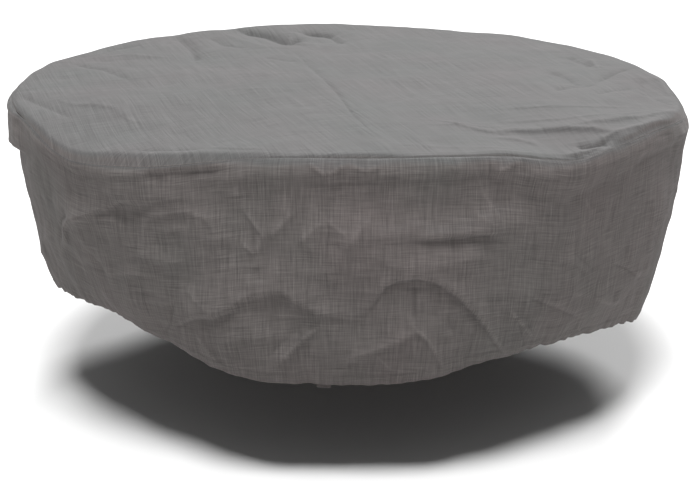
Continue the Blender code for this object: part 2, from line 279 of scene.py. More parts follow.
TOP_CREASES = (
    # one long fine crease left from folding, running to the front rim
    (-4.6, 5, 7, ((-0.20, 0.51), (-0.10, 0.07), (-0.04, -0.21), (0.01, -0.54), (0.08, -0.83))),
    (1.6, 8, 6, ((0.10, 0.55), (0.17, -0.10), (0.22, -0.42))),
    # hollows and slack along the back rim
    (-26.0, 22, 46, ((-0.42, 0.90), (-0.29, 0.80), (-0.21, 0.68), (-0.15, 0.78))),
    (-17.0, 16, 30, ((-0.20, 0.83), (-0.12, 0.82), (-0.07, 0.80), (-0.02, 0.61))),
    (-18.0, 26, 30, ((-0.61, 0.78), (-0.53, 0.49), (-0.50, 0.30))),
    (-6.0, 12, 20, ((-0.50, 0.73), (-0.43, 0.59), (-0.34, 0.50))),
    (6.0, 26, 26, ((-0.46, 0.82), (-0.38, 0.66), (-0.28, 0.50))),
    (-3.6, 9, 12, ((-0.29, 0.36), (-0.23, 0.31), (-0.17, 0.27))),
    (-6.0, 10, 20, ((-0.92, 0.28), (-0.85, 0.20), (-0.79, 0.16), (-0.68, -0.01))),
    (-5.5, 11, 20, ((-0.86, 0.40), (-0.79, 0.52), (-0.70, 0.58))),
    (4.0, 20, 20, ((-0.90, 0.33), (-0.74, 0.38), (-0.56, 0.36))),
    # pull lines at the left corner
    (4.4, 22, 8, ((-0.88, -0.25), (-0.81, -0.34), (-0.74, -0.36), (-0.68, -0.39), (-0.63, -0.48),
                  (-0.57, -0.52))),
    (-7.0, 14, 22, ((-1.00, -0.18), (-0.92, -0.30), (-0.86, -0.38), (-0.79, -0.47))),
    (-3.0, 8, 8, ((-0.46, -0.65), (-0.41, -0.80))),
    (-5.0, 14, 24, ((-0.58, -0.80), (-0.47, -0.86), (-0.38, -0.88))),
    (3.0, 16, 6, ((-0.38, -0.87), (-0.31, -0.91), (-0.22, -0.94))),
    # slack at the back right
    (-10.0, 26, 34, ((0.73, 0.44), (0.77, 0.33), (0.79, 0.25))),
    (7.0, 12, 12, ((0.80, 0.40), (0.81, 0.24))),
    (-9.0, 20, 34, ((0.64, 0.15), (0.69, 0.05), (0.72, -0.05))),
    (-7.0, 9, 24, ((0.77, 0.03), (0.82, 0.13), (0.86, 0.20), (0.92, 0.28))),
    (-5.0, 10, 18, ((0.73, -0.19), (0.77, -0.13), (0.82, -0.07), (0.89, 0.00))),
    (-6.0, 10, 18, ((0.61, -0.16), (0.69, -0.07), (0.77, 0.00))),
    (-8.0, 34, 26, ((0.93, 0.15), (0.92, 0.00), (0.94, -0.12))),
    (-6.0, 18, 12, ((0.89, -0.05), (0.93, -0.11), (0.99, -0.20))),
    (6.0, 18, 18, ((0.985, 0.18), (0.995, -0.06))),
    # pull lines fanning out of the right corner
    (3.4, 22, 7, ((0.40, -0.42), (0.55, -0.40), (0.69, -0.37), (0.86, -0.29))),
    (3.4, 20, 7, ((0.38, -0.56), (0.60, -0.53), (0.74, -0.48), (0.92, -0.33))),
    (3.4, 18, 7, ((0.20, -0.65), (0.31, -0.635), (0.46, -0.60))),
    (5.5, 28, 8, ((0.25, -0.58), (0.30, -0.64), (0.35, -0.67), (0.44, -0.68))),
    (14.0, 60, 14, ((0.38, -0.67), (0.47, -0.65), (0.54, -0.63), (0.61, -0.62), (0.68, -0.625),
                    (0.75, -0.65))),
    (11.0, 46, 14, ((0.60, -0.60), (0.70, -0.565), (0.83, -0.48), (0.93, -0.36), (1.00, -0.25))),
    (9.0, 16, 9, ((0.64, -0.735), (0.72, -0.665), (0.82, -0.565), (0.92, -0.43), (0.99, -0.31))),
    (6.0, 28, 8, ((0.39, -0.735), (0.45, -0.725), (0.51, -0.76))),
    # sagging pocket on the front right rim
    (-14.0, 12, 22, ((0.61, -0.738), (0.665, -0.728), (0.715, -0.690))),
    (7.0, 22, 8, ((0.575, -0.818), (0.615, -0.788), (0.655, -0.756), (0.695, -0.719))),
    # lines along the front rim
    (2.6, 22, 8, ((0.10, -0.90), (0.30, -0.885), (0.46, -0.85))),
)
LOOSE_CREASES = 150
LOOSE_TOP_CREASES = 70
SEED = 11
# Gentle waves: how many, the shortest and longest, and how far they stand out.
SKIRT_WAVES = ((14, 0.16, 0.50, 0.0050), (26, 0.05, 0.16, 0.0016))
TOP_WAVES = ((12, 0.22, 0.70, 0.0040), (20, 0.06, 0.20, 0.0009))

# ---- colours, light and camera
# The cloth's colour where it hangs, and where it lies flat, blended by how far it faces up:
# painted light and shade, paler where it hangs and darker where it lies flat.
HANGING_COLOUR_PAINTED_LIGHTER = (0.1105, 0.1000, 0.0965)
LYING_COLOUR_PAINTED_DARKER = (0.0858, 0.0843, 0.0840)
THREAD_COLOUR = (0.070, 0.064, 0.062, 1.0)
TAB_COLOUR = (0.045, 0.036, 0.034)
FLOOR_COLOUR = (0.62, 0.62, 0.62, 1.0)
CLOTH_SHEEN = 0.04
TOP_WARP_TURN = math.radians(-17)

AMBIENT = 0.22
# Name, power, angle it is spread over, angle above the floor, and turn from the front.
LIGHTS = (
    ("key_light", 4.9, 20.0, 75.0, -8.0),
    ("back_light", 3.4, 16.0, 34.0, 168.0),
)
CAMERA_LENS = 92.57
CAMERA_SENSOR = 36.0
CAMERA_PLACE = (0.0, -5.525, 1.116)
CAMERA_TILT = 73.36


# ---- base shape
def turn_from(degrees, middle):
    """Angles counted from a middle one, from -180 to 180 degrees."""
    return (degrees - middle + 180.0) % 360.0 - 180.0


def sections_at(degrees):
    """Every column of SECTIONS at some angles, on a smooth closed curve."""
    turned = turn_from(degrees, 0.0)
    angles = SECTIONS[:, 0]
    count = len(angles)
    row = np.clip(np.searchsorted(angles, turned, side="right") - 1, 0, count - 1)
    here = angles[row]
    before = (angles[(row - 1) % count] - here) % 360.0 - 360.0
    after = (angles[(row + 1) % count] - here) % 360.0
    beyond = (angles[(row + 2) % count] - here) % 360.0
    t = (turned - here) / after
    values = {}
    for column, name in enumerate(SECTION_COLUMNS[1:], start=1):
        y0, y1, y2, y3 = (SECTIONS[(row + step) % count, column] for step in (-1, 0, 1, 2))
        slope_1 = (y2 - y0) / (after - before) * after
        slope_2 = (y3 - y1) / beyond * after
        values[name] = (
            (2 * t**3 - 3 * t**2 + 1) * y1 + (t**3 - 2 * t**2 + t) * slope_1
            + (3 * t**2 - 2 * t**3) * y2 + (t**3 - t**2) * slope_2
        )
    return values


def bezier(t, *corners):
    """A cubic curve through the first and last of four corners."""
    p0, p1, p2, p3 = corners
    return tuple(
        (1 - t)**3 * a + 3 * t * (1 - t)**2 * b + 3 * t**2 * (1 - t) * c + t**3 * d
        for a, b, c, d in zip(p0, p1, p2, p3)
    )


def seam_direction(s):
    """Unit run of the top panel, outwards and down, where it reaches the seam."""
    run = s["seam_radius"] - s["ridge_radius"]
    fall = s["ridge_height"] - s["seam_height"]
    out, down = 0.5 * run - 0.12 * fall, 0.62 * fall
    size = np.hypot(out, down)
    return out / size, -down / size


def to_points(degrees, radius, height):
    angle = np.radians(degrees)
    return np.stack((radius * np.cos(angle), radius * np.sin(angle), height), axis=-1)


def base_top(degrees, share):
    """Inner face of the top panel: share 0 is its centre, and 1 is the seam."""
    s = sections_at(degrees)
    ridge = (s["ridge_radius"], s["ridge_height"])
    seam = (s["seam_radius"], s["seam_height"])
    inner = np.clip(share / TOP_EDGE_SHARE, 0.0, 1.0)
    dish_radius = inner * ridge[0]
    dish_height = ridge[1] * inner**TOP_DISH_POWER
    outer = np.clip((share - TOP_EDGE_SHARE) / (1 - TOP_EDGE_SHARE), 0.0, 1.0)
    reach = TOP_EDGE_REACH * np.hypot(seam[0] - ridge[0], seam[1] - ridge[1])
    slope = TOP_DISH_POWER * ridge[1] / ridge[0]
    size = np.sqrt(1 + slope**2)
    out, down = seam_direction(s)
    leave = (ridge[0] + reach / size, ridge[1] + reach * slope / size)
    arrive = (seam[0] - reach * out, seam[1] - reach * down)
    edge_radius, edge_height = bezier(outer, ridge, leave, arrive, seam)
    on_edge = share > TOP_EDGE_SHARE
    radius = np.where(on_edge, edge_radius, dish_radius)
    height = np.where(on_edge, edge_height, dish_height)
    return to_points(degrees, radius, height)


def flap(degrees, height):
    """How far the slack flap at the left stands out."""
    away = turn_from(degrees, FLAP_ANGLE)
    across = np.exp(-(away / FLAP_HALF_ANGLE)**4)
    lip = FLAP_LIP + FLAP_LIP_RISE * np.clip(away + 2.0, 0.0, 14.0)
    down = np.clip((FLAP_TOP - height) / (FLAP_TOP - lip), 0.0, 1.0)
    tuck = smooth_step(lip - height, 0.0, FLAP_TUCK)
    return FLAP_DEPTH * across * np.sqrt(down) * (1 - tuck)


def base_skirt(degrees, share):
    """Inner face of the skirt: share 0 is the seam, and 1 is the hem's edge."""
    s = sections_at(degrees)
    out, down = seam_direction(s)
    start = (s["seam_radius"] + SEAM_GAP * out, s["seam_height"] + SEAM_GAP * down)
    wall_top = (s["wall_radius"], s["seam_height"] - SHOULDER_DROP)
    leave = (start[0] + SHOULDER_REACH * out, start[1] + SHOULDER_REACH * down)
    arrive = (wall_top[0], wall_top[1] + SHOULDER_REACH)
    t = np.clip(share / SHOULDER_SHARE, 0.0, 1.0)
    shoulder_radius, shoulder_height = bezier(t, start, leave, arrive, wall_top)
    w = np.clip((share - SHOULDER_SHARE) / (1 - SHOULDER_SHARE), 0.0, 1.0)
    lean = wall_top[0] - s["hem_radius"]
    inward = lean * ((1 - DRAW_IN_SHARE) * w + DRAW_IN_SHARE * w**DRAW_IN_POWER)
    cut = np.exp(-((w - UNDERCUT_PLACE) / UNDERCUT_SPREAD)**2)
    cut -= (1 - w)**8 * np.exp(-(UNDERCUT_PLACE / UNDERCUT_SPREAD)**2)
    inward = inward + UNDERCUT_DEPTH * cut
    wall_height = wall_top[1] + w * (s["hem_height"] - wall_top[1])
    on_wall = share > SHOULDER_SHARE
    radius = np.where(on_wall, wall_top[0] - inward, shoulder_radius)
    height = np.where(on_wall, wall_height, shoulder_height)
    return to_points(degrees, radius + flap(degrees, height), height)


def outward_normals(surface, degrees, share):
    """Unit normals of one of the base surfaces."""
    step_angle, step_share = 0.25, 0.004
    low = np.clip(share - step_share, 0.0, 1.0)
    high = np.clip(share + step_share, 0.0, 1.0)
    around = surface(degrees + step_angle, share) - surface(degrees - step_angle, share)
    along = surface(degrees, high) - surface(degrees, low)
    normal = np.cross(along, around)
    size = np.linalg.norm(normal, axis=-1, keepdims=True)
    return normal / np.maximum(size, 1e-9)


# ---- creases and slack
def crease_height(depth, left, right, points, place):
    """Height that one crease adds at every place, all in metres."""
    lengths = np.linalg.norm(np.diff(points, axis=0), axis=1)
    total = lengths.sum()
    nearest = np.full(place.shape[:-1], 1e9)
    side = np.zeros(place.shape[:-1])
    run_at = np.zeros(place.shape[:-1])
    passed = 0.0
    for start, end, length in zip(points[:-1], points[1:], lengths):
        along = (end - start) / length
        offset = place - start
        run = np.clip(offset @ along, 0.0, length)
        away = offset - run[..., None] * along
        distance = np.linalg.norm(away, axis=-1)
        turn = along[0] * offset[..., 1] - along[1] * offset[..., 0]
        closer = distance < nearest
        nearest = np.where(closer, distance, nearest)
        side = np.where(closer, turn, side)
        run_at = np.where(closer, passed + run, run_at)
        passed += length
    tip = np.clip(np.minimum(run_at, total - run_at) / (0.22 * total), 0.0, 1.0)
    fade = 0.20 + 0.80 * tip * tip * (3 - 2 * tip)
    leaning = 0.5 + 0.5 * np.tanh(side / 0.006)
    width = right + (left - right) * leaning
    apex = min(0.25 * min(left, right), 0.0035)
    spread = (np.sqrt(nearest**2 + apex**2) - apex) / width
    return depth * fade * np.exp(-spread)


def creases_on(place, creases, wrap=None):
    """The height of all the creases. With wrap, their first numbers are angles."""
    total = np.zeros(place.shape[:-1])
    for depth, left, right, points in creases:
        run = np.array(points, float)
        here = place
        if wrap is not None:
            first = run[0, 0]
            turns = np.radians(turn_from(run[:, 0], first))
            run = np.stack((turns * WALL_RADIUS, run[:, 1]), axis=-1)
            away = np.radians(turn_from(wrap, first))
            here = np.stack((away * WALL_RADIUS, place[..., 1]), axis=-1)
        sizes = (depth / 1000, left / 1000, right / 1000)
        total += crease_height(*sizes, run, here)
    return total


def loose_skirt_creases(random):
    """Small straight creases in every direction, more of them ridges than troughs."""
    creases = []
    for _ in range(LOOSE_CREASES):
        angle = random.uniform(-180, 180)
        height = random.uniform(-0.60, -0.08)
        tilt = random.uniform(0, math.pi)
        length = random.uniform(0.04, 0.17)
        turn = math.degrees(length * math.cos(tilt) / WALL_RADIUS)
        depth = random.uniform(0.8, 2.6) * (1 if random.random() < 0.6 else -1)
        left, right = random.uniform(7, 20), random.uniform(7, 20)
        points = ((angle, height), (angle + turn, height + length * math.sin(tilt)))
        creases.append((depth, left, right, points))
    return creases


def loose_top_creases(random):
    """Small straight creases in every direction, ridges and troughs alike."""
    creases = []
    for _ in range(LOOSE_TOP_CREASES):
        radius = math.sqrt(random.uniform(0.05, 1.0)) * 0.98
        angle = random.uniform(-math.pi, math.pi)
        x, y = radius * math.cos(angle), radius * math.sin(angle)
        tilt = random.uniform(0, math.pi)
        length = random.uniform(0.06, 0.30)
        depth = random.uniform(0.5, 1.5) * (1 if random.random() < 0.5 else -1)
        left, right = random.uniform(8, 22), random.uniform(8, 22)
        points = ((x, y), (x + length * math.cos(tilt), y + length * math.sin(tilt)))
        creases.append((depth, left, right, points))
    return creases


def soft_slack(degrees, height, random, waves, finest, coarsest, size):
    """Gentle random billows that close round the cover."""
    total = np.zeros(np.shape(degrees))
    angle = np.radians(degrees)
    for _ in range(waves):
        wavelength = math.exp(random.uniform(math.log(finest), math.log(coarsest)))
        tilt = random.uniform(0, 2 * math.pi)
        turns = round(2 * math.pi * WALL_RADIUS / wavelength * math.cos(tilt))
        climb = 2 * math.pi / wavelength * math.sin(tilt)
        phase = random.uniform(0, 2 * math.pi)
        total += wavelength * np.cos(turns * angle + climb * height + phase)
    return size * total / (coarsest * math.sqrt(waves / 2))


def billows(x, y, random, waves, finest, coarsest, size):
    """Gentle random billows on a flat cloth."""
    total = np.zeros(np.shape(x))
    for _ in range(waves):
        wavelength = math.exp(random.uniform(math.log(finest), math.log(coarsest)))
        tilt = random.uniform(0, 2 * math.pi)
        phase = random.uniform(0, 2 * math.pi)
        run = x * math.cos(tilt) + y * math.sin(tilt)
        total += wavelength * np.cos(2 * math.pi * run / wavelength + phase)
    return size * total / (coarsest * math.sqrt(waves / 2))


def gathers(degrees, random, lowest, highest, count):
    """Uneven little folds round an edge, from -1 to 1, stronger in some places."""
    angle = np.radians(degrees)
    ripples = np.zeros(np.shape(degrees))
    for _ in range(count):
        turns = random.integers(lowest, highest)
        ripples += np.cos(turns * angle + random.uniform(0, 2 * math.pi))
    strength = np.zeros(np.shape(degrees))
    for turns in (3, 5, 7, 11, 17):
        strength += np.cos(turns * angle + random.uniform(0, 2 * math.pi)) / 5
    return np.tanh(ripples / math.sqrt(count)) * np.clip(0.55 + strength, 0.1, 1.0)


def smooth_step(value, start, end):
    """A soft rise from 0 at the start to 1 at the end."""
    t = np.clip((value - start) / (end - start), 0.0, 1.0)
    return t * t * (3 - 2 * t)


def seam_strength(degrees):
    """How strongly the seam shows, from 0 to 1."""
    gain, front, reach = SEAM_FRONT
    strength = SEAM_STRENGTH + gain * np.exp(-(turn_from(degrees, front) / reach)**4)
    for middle, reach in SEAM_SLACK:
        strength = strength - SEAM_STRENGTH * np.exp(-(turn_from(degrees, middle) / reach)**4)
    return np.clip(strength, 0.0, 1.0)


def seam_groove(degrees, distance):
    """How far the cloth sinks in at a distance from the seam."""
    return -GROOVE_DEPTH * seam_strength(degrees) * np.exp(-(distance / GROOVE_WIDTH)**2)


def skirt_surface(degrees, share):
    """Inner face of the finished skirt, with all its folds."""
    random = np.random.default_rng(SEED)
    base = base_skirt(degrees, share)
    height = base[..., 2]
    s = sections_at(degrees)
    below_seam = s["seam_height"] - height
    above_hem = height - s["hem_height"]
    place = np.stack((np.radians(degrees) * WALL_RADIUS, height), axis=-1)
    push = creases_on(place, SKIRT_CREASES, wrap=degrees)
    push += creases_on(place, loose_skirt_creases(random), wrap=degrees)
    for waves in SKIRT_WAVES:
        push += soft_slack(degrees, height, random, *waves)
    push *= smooth_step(below_seam, 0.0, 0.022)
    from_seam = share / SHOULDER_SHARE * SHOULDER_LENGTH
    near_seam = np.exp(-((from_seam - ROLL_PLACE) / ROLL_WIDTH)**2)
    roll = 1.0 + SEAM_PUCKERS * gathers(degrees, random, 60, 140, 6)
    push += ROLL_HEIGHT * near_seam * seam_strength(degrees) * roll
    push += seam_groove(degrees, from_seam)
    near_hem = np.exp(-(above_hem / HEM_GATHER_REACH)**2)
    push += HEM_GATHER_OUT * near_hem * gathers(degrees, random, 50, 210, 8)
    push += HEM_EXTRA * smooth_step(HEM_BAND + 0.002 - above_hem, 0.0, 0.004)
    drop = HEM_GATHER_UP * near_hem * gathers(degrees, random, 40, 110, 5)
    moved = base + push[..., None] * outward_normals(base_skirt, degrees, share)
    moved[..., 2] += drop
    return moved


def top_surface(degrees, share):
    """Inner face of the finished top panel, with all its folds."""
    random = np.random.default_rng(SEED + 1)
    base = base_top(degrees, share)
    x, y = base[..., 0], base[..., 1]
    place = np.stack((x, y), axis=-1)
    push = creases_on(place, TOP_CREASES)
    push += creases_on(place, loose_top_creases(random))
    for waves in TOP_WAVES:
        push += billows(x, y, random, *waves)
    push *= 1 - smooth_step(share, 0.975, 1.0)
    s = sections_at(degrees)
    run = s["seam_radius"] - s["ridge_radius"]
    fall = s["ridge_height"] - s["seam_height"]
    from_seam = (1 - share) / (1 - TOP_EDGE_SHARE) * np.hypot(run, fall)
    push += seam_groove(degrees, from_seam)
    return base + push[..., None] * outward_normals(base_top, degrees, share)


# ---- meshes
def column_angles(count):
    """Angles round the cover, closer together at the front."""
    turned = np.arange(count) * 360.0 / count
    return turned - math.degrees(FRONT_FINENESS) * np.sin(np.radians(turned)) - 90.0


def grid_normals(grid):
    """Outward unit normals of a closed grid of points, rows running down or outwards."""
    around = np.roll(grid, -1, axis=1) - np.roll(grid, 1, axis=1)
    along = np.gradient(grid, axis=0)
    normal = np.cross(along, around)
    return normal / np.maximum(np.linalg.norm(normal, axis=-1, keepdims=True), 1e-12)


def row_lengths(grid):
    """Distance down every column from its first row."""
    steps = np.linalg.norm(np.diff(grid, axis=0), axis=-1)
    return np.concatenate((np.zeros((1, grid.shape[1])), np.cumsum(steps, axis=0)))


def quads_between(upper, lower, flip=False):
    """Faces between two closed rows of vertex numbers of equal length."""
    faces = []
    count = len(upper)
    for i in range(count):
        j = (i + 1) % count
        face = (upper[i], lower[i], lower[j], upper[j])
        faces.append(face[::-1] if flip else face)
    return faces


def halving_between(inner, outer, flip=False):
    """Triangles between a ring and an outer one of twice as many vertices."""
    faces = []
    count = len(inner)
    for i in range(count):
        j = (i + 1) % count
        a, b, c = outer[2 * i], outer[2 * i + 1], outer[(2 * i + 2) % len(outer)]
        for face in ((inner[i], a, b), (inner[i], b, inner[j]), (inner[j], b, c)):
            faces.append(face[::-1] if flip else face)
    return faces


def placed(name, data):
    """A new object in the scene."""
    thing = bpy.data.objects.new(name, data)
    bpy.context.scene.collection.objects.link(thing)
    return thing


def make_object(name, points, faces, weave, material, rims=(), hollow=None):
    """A smooth mesh object with what its material reads, and sharp edges along its rims.

    weave is each point's place on the cloth, hollow how far it lies in, in millimetres, which the
    cloth's material darkens as painted shade, and facing how far it faces up, from 0 to 1, which
    it uses for painted light and shade.
    """
    mesh = bpy.data.meshes.new(name)
    mesh.from_pydata(points.tolist(), [], faces)
    place = mesh.attributes.new("weave", "FLOAT_VECTOR", "POINT")
    place.data.foreach_set("vector", np.asarray(weave, dtype=np.float32).ravel())
    if hollow is not None:
        depth = mesh.attributes.new("hollow", "FLOAT", "POINT")
        depth.data.foreach_set("value", np.asarray(hollow, dtype=np.float32))
    normals = np.zeros(3 * len(mesh.vertices), dtype=np.float32)
    mesh.vertex_normals.foreach_get("vector", normals)
    # How far each point faces up: the cloth's material paints light and shade with it.
    facing = mesh.attributes.new("facing", "FLOAT", "POINT")
    facing.data.foreach_set("value", np.clip(normals[2::3], 0.0, 1.0))
    mesh.shade_smooth()
    ends = np.zeros(2 * len(mesh.edges), dtype=np.int32)
    mesh.edges.foreach_get("vertices", ends)
    sharp = np.zeros(len(mesh.edges), dtype=bool)
    for rim in rims:
        sharp |= np.isin(ends.reshape(-1, 2), rim).all(axis=1)
    mesh.edges.foreach_set("use_edge_sharp", sharp)
    mesh.materials.append(material)
    mesh.update()
    return placed(name, mesh)


def make_skirt(material):
    """The skirt, with its hidden inner face half as fine, and the points of its outer face."""
    share = skirt_shares()
    angle_grid, share_grid = np.meshgrid(column_angles(SKIRT_COLUMNS), share)
    fine = skirt_surface(angle_grid, share_grid)
    normals = grid_normals(fine)
    outer = fine + CLOTH_THICKNESS * normals
    inner = inner_face(fine, normals)[::2, ::2]
    points = np.concatenate((outer.reshape(-1, 3), inner.reshape(-1, 3)))
    number = np.arange(fine[..., 0].size).reshape(fine.shape[:2])
    under = np.arange(inner[..., 0].size).reshape(inner.shape[:2]) + number.size
    outer_rows, inner_rows = number.tolist(), under.tolist()
    faces = []
    for upper, lower in zip(outer_rows[:-1], outer_rows[1:]):
        faces += quads_between(upper, lower)
    for upper, lower in zip(inner_rows[:-1], inner_rows[1:]):
        faces += quads_between(upper, lower, True)
    faces += halving_between(inner_rows[0], outer_rows[0])
    faces += halving_between(inner_rows[-1], outer_rows[-1], True)
    down = row_lengths(base_skirt(angle_grid, share_grid))
    weave = to_points(angle_grid, WALL_RADIUS, down)
    weave = np.concatenate((weave.reshape(-1, 3), weave[::2, ::2].reshape(-1, 3)))
    rims = (number[0], number[-1], under[0], under[-1])
    # hollow feeds the painted shade in the creases; the hidden inner face gets none.
    hollow = np.concatenate((grid_hollow(fine, normals).ravel(), np.zeros(under.size)))
    skirt = make_object("skirt_cloth", points, faces, weave, material, rims, hollow)
    return skirt, outer


def grid_hollow(grid, normals):
    """How far each point lies in below its neighbours, in millimetres."""
    rows = np.arange(len(grid))
    above = grid[np.maximum(rows - 1, 0)]
    below = grid[np.minimum(rows + 1, len(grid) - 1)]
    around = np.roll(grid, 1, axis=1) + np.roll(grid, -1, axis=1)
    depth = (((above + below + around) / 4 - grid) * normals).sum(axis=-1) * 1000.0
    depth[:2] = depth[-2:] = 0.0
    return depth


def stitch_row(name, outer, share, material):
    """A row of small stitches along the row of outer points nearest to a share."""
    row = int(np.argmin(np.abs(skirt_shares() - share)))
    line, up = outer[row], grid_normals(outer)[row]
    steps = np.linalg.norm(np.roll(line, -1, axis=0) - line, axis=1)
    passed = np.concatenate(((0.0,), np.cumsum(steps)))
    line = np.concatenate((line, line[:1]))
    up = np.concatenate((up, up[:1]))
    length = passed[-1]
    count = int(length / STITCH_PITCH)

    def at(places, values):
        runs = [np.interp(places % length, passed, values[:, axis]) for axis in range(3)]
        return np.stack(runs, axis=-1)

    rings = []
    for part, radius, height in STITCH_RINGS:
        places = np.arange(count) * length / count + part * STITCH_LENGTH
        centre, normal = at(places, line), at(places, up)
        ahead = at(places + 0.001, line) - centre
        ahead /= np.linalg.norm(ahead, axis=-1, keepdims=True)
        across = np.cross(normal, ahead)
        centre = centre + height * normal
        for side in range(STITCH_SIDES):
            turn = 2 * math.pi * side / STITCH_SIDES
            rings.append(centre + radius * (math.cos(turn) * normal + math.sin(turn) * across))
    points = np.stack(rings, axis=1).reshape(-1, 3)
    faces = []
    for stitch in np.arange(len(points)).reshape(count, len(STITCH_RINGS), STITCH_SIDES).tolist():
        faces += [tuple(stitch[0])[::-1], tuple(stitch[-1])]
        for near, far in zip(stitch[:-1], stitch[1:]):
            faces += quads_between(far, near)
    return make_object(name, points, faces, points, material)


def inner_face(fine, normals):
    """The inner face, drawn in where the cloth beside a point dips below it."""
    depth = np.zeros(fine.shape[:2])
    rows = np.arange(len(fine))
    for row_step in (-1, 0, 1):
        for column_step in (-1, 0, 1):
            beside = np.roll(fine, column_step, axis=1)
            beside = beside[np.clip(rows + row_step, 0, len(fine) - 1)]
            depth = np.minimum(depth, ((beside - fine) * normals).sum(axis=-1))
    depth[0] = depth[-1] = 0.0
    return fine + np.maximum(depth, DEEPEST_DIP)[..., None] * normals


def skirt_shares():
    """Rows from the seam to the hem, closer together at both edges."""
    even = np.linspace(0.0, 1.0, SKIRT_ROWS)
    share = even.copy()
    for strength, waves in ROW_FINENESS:
        share -= strength * np.sin(2 * math.pi * waves * even) / (2 * math.pi)
    return share


def top_rings(rim_columns):
    """(share, columns) of each ring of the top panel, from the middle out."""
    rings = []
    share = 1.0
    columns = rim_columns
    finest = 2 * math.pi / rim_columns
    while share > 0.012:
        rings.append((share, columns))
        spacing = finest * share * rim_columns / columns
        if spacing < 0.62 * finest and columns % 2 == 0 and len(rings) > 1:
            columns //= 2
            spacing *= 2
        near_rim = 0.34 + 0.66 * smooth_step(1 - share, 0.02, 0.10)
        share -= max(spacing * 1.02, finest) * near_rim
    return rings[::-1]


def top_face(rim_columns, lift, clearance):
    """Points, ring numbers and hollows of one face of the top panel.

    The face is lifted along its normal, or kept clear below the cloth round each point.
    """
    middle = top_surface(np.zeros(1), np.zeros(1))
    points = [middle + np.array((0.0, 0.0, lift - clearance))]
    hollow = [np.zeros(1)]
    numbers = []
    total = 1
    for share, columns in top_rings(rim_columns):
        degrees = column_angles(columns)
        here = top_surface(degrees, np.full(columns, share))
        ahead = top_surface(degrees, np.full(columns, min(share + 0.004, 1.0)))
        behind = top_surface(degrees, np.full(columns, max(share - 0.004, 0.0)))
        around = top_surface(degrees + 0.3, np.full(columns, share))
        beside = top_surface(degrees - 0.3, np.full(columns, share))
        normal = np.cross(ahead - behind, around - beside)
        normal /= np.linalg.norm(normal, axis=-1, keepdims=True)
        ring = here + lift * normal
        if clearance and share < 0.999:
            height = here[:, 2]
            nearby = [ring[:, 2], np.roll(height, 1), np.roll(height, -1)]
            nearby += [place[:, 2] for place in (ahead, behind, around, beside)]
            ring[:, 2] = np.min(nearby, axis=0) - clearance * smooth_step(1 - share, 0.0, 0.02)
        points.append(ring)
        sunk = (ahead + behind + around + beside) / 4 - here
        sunk = (sunk * normal).sum(axis=-1) * 1000.0
        hollow.append(sunk if share < 0.994 else np.zeros(columns))
        numbers.append(list(range(total, total + columns)))
        total += columns
    return points, numbers, hollow


def disc_faces(numbers, centre, flip):
    """Faces of a disc of rings round a centre vertex."""
    faces = []
    first = numbers[0]
    for i, here in enumerate(first):
        ahead = first[(i + 1) % len(first)]
        faces.append((centre, ahead, here) if flip else (centre, here, ahead))
    for small, large in zip(numbers[:-1], numbers[1:]):
        if len(small) == len(large):
            faces += quads_between(small, large, flip)
        else:
            faces += halving_between(small, large, flip)
    return faces


def make_top(material):
    """The top panel, with its hidden inner face half as fine as its outer one."""
    upper, upper_rings, hollow = top_face(TOP_COLUMNS, CLOTH_THICKNESS, 0.0)
    lower, lower_rings, _ = top_face(TOP_COLUMNS // 2, 0.0, TOP_CLEARANCE)
    size = sum(len(ring) for ring in upper)
    lower_rings = [[n + size for n in ring] for ring in lower_rings]
    faces = disc_faces(upper_rings, 0, False) + disc_faces(lower_rings, size, True)
    faces += halving_between(lower_rings[-1], upper_rings[-1], True)
    points = np.concatenate(upper + lower)
    rims = (np.array(upper_rings[-1]), np.array(lower_rings[-1]))
    hollow = np.concatenate(hollow + [np.zeros(len(points) - size)])
    # hollow feeds the painted shade in the creases, twice as strong on the top.
    return make_object("top_cloth", points, faces, points, material, rims, 2.0 * hollow)


# ---- materials
def new_material(name):
    """A new material, its node tree and its shader."""
    material = bpy.data.materials.new(name)
    material.use_nodes = True
    tree = material.node_tree
    shader = tree.nodes["Principled BSDF"]
    return material, tree, shader


def feed(tree, socket, value):
    """Link a socket to another one, or set its value."""
    if isinstance(value, bpy.types.NodeSocket):
        tree.links.new(value, socket)
    else:
        socket.default_value = value


def plug(tree, made, **inputs):
    """Feed a node's inputs by name, with _ for each space."""
    for key, value in inputs.items():
        feed(tree, made.inputs[key.replace("_", " ")], value)


def node(tree, kind, settings=None, **inputs):
    """A new node with its settings, and its inputs linked or set."""
    made = tree.nodes.new(kind)
    for key, value in (settings or {}).items():
        setattr(made, key, value)
    plug(tree, made, **inputs)
    return made


def maths(tree, operation, first, second=0.0, third=0.0):
    """The output of a new Math node."""
    made = tree.nodes.new("ShaderNodeMath")
    made.operation = operation
    for socket, value in zip(made.inputs, (first, second, third)):
        feed(tree, socket, value)
    return made.outputs[0]


def attribute(tree, name, socket):
    """What make_object stored at each point."""
    return node(tree, "ShaderNodeAttribute", {"attribute_name": name}).outputs[socket]


def bumped(tree, shader, height, distance, strength):
    """Raise a shader's surface by a height that varies finely."""
    bump = node(tree, "ShaderNodeBump", Height=height, Distance=distance, Strength=strength)
    plug(tree, shader, Normal=bump.outputs[0])


def stretched_noise(tree, vector, scale, detail=2.0, roughness=0.5):
    """Noise from -1 to 1 on the vector times a scale for each axis."""
    mapping = node(tree, "ShaderNodeMapping", Vector=vector, Scale=scale)
    noise = node(tree, "ShaderNodeTexNoise", Vector=mapping.outputs[0], Scale=1.0,
                 Detail=detail, Roughness=roughness)
    return maths(tree, "MULTIPLY_ADD", noise.outputs["Fac"], 2.0, -1.0)


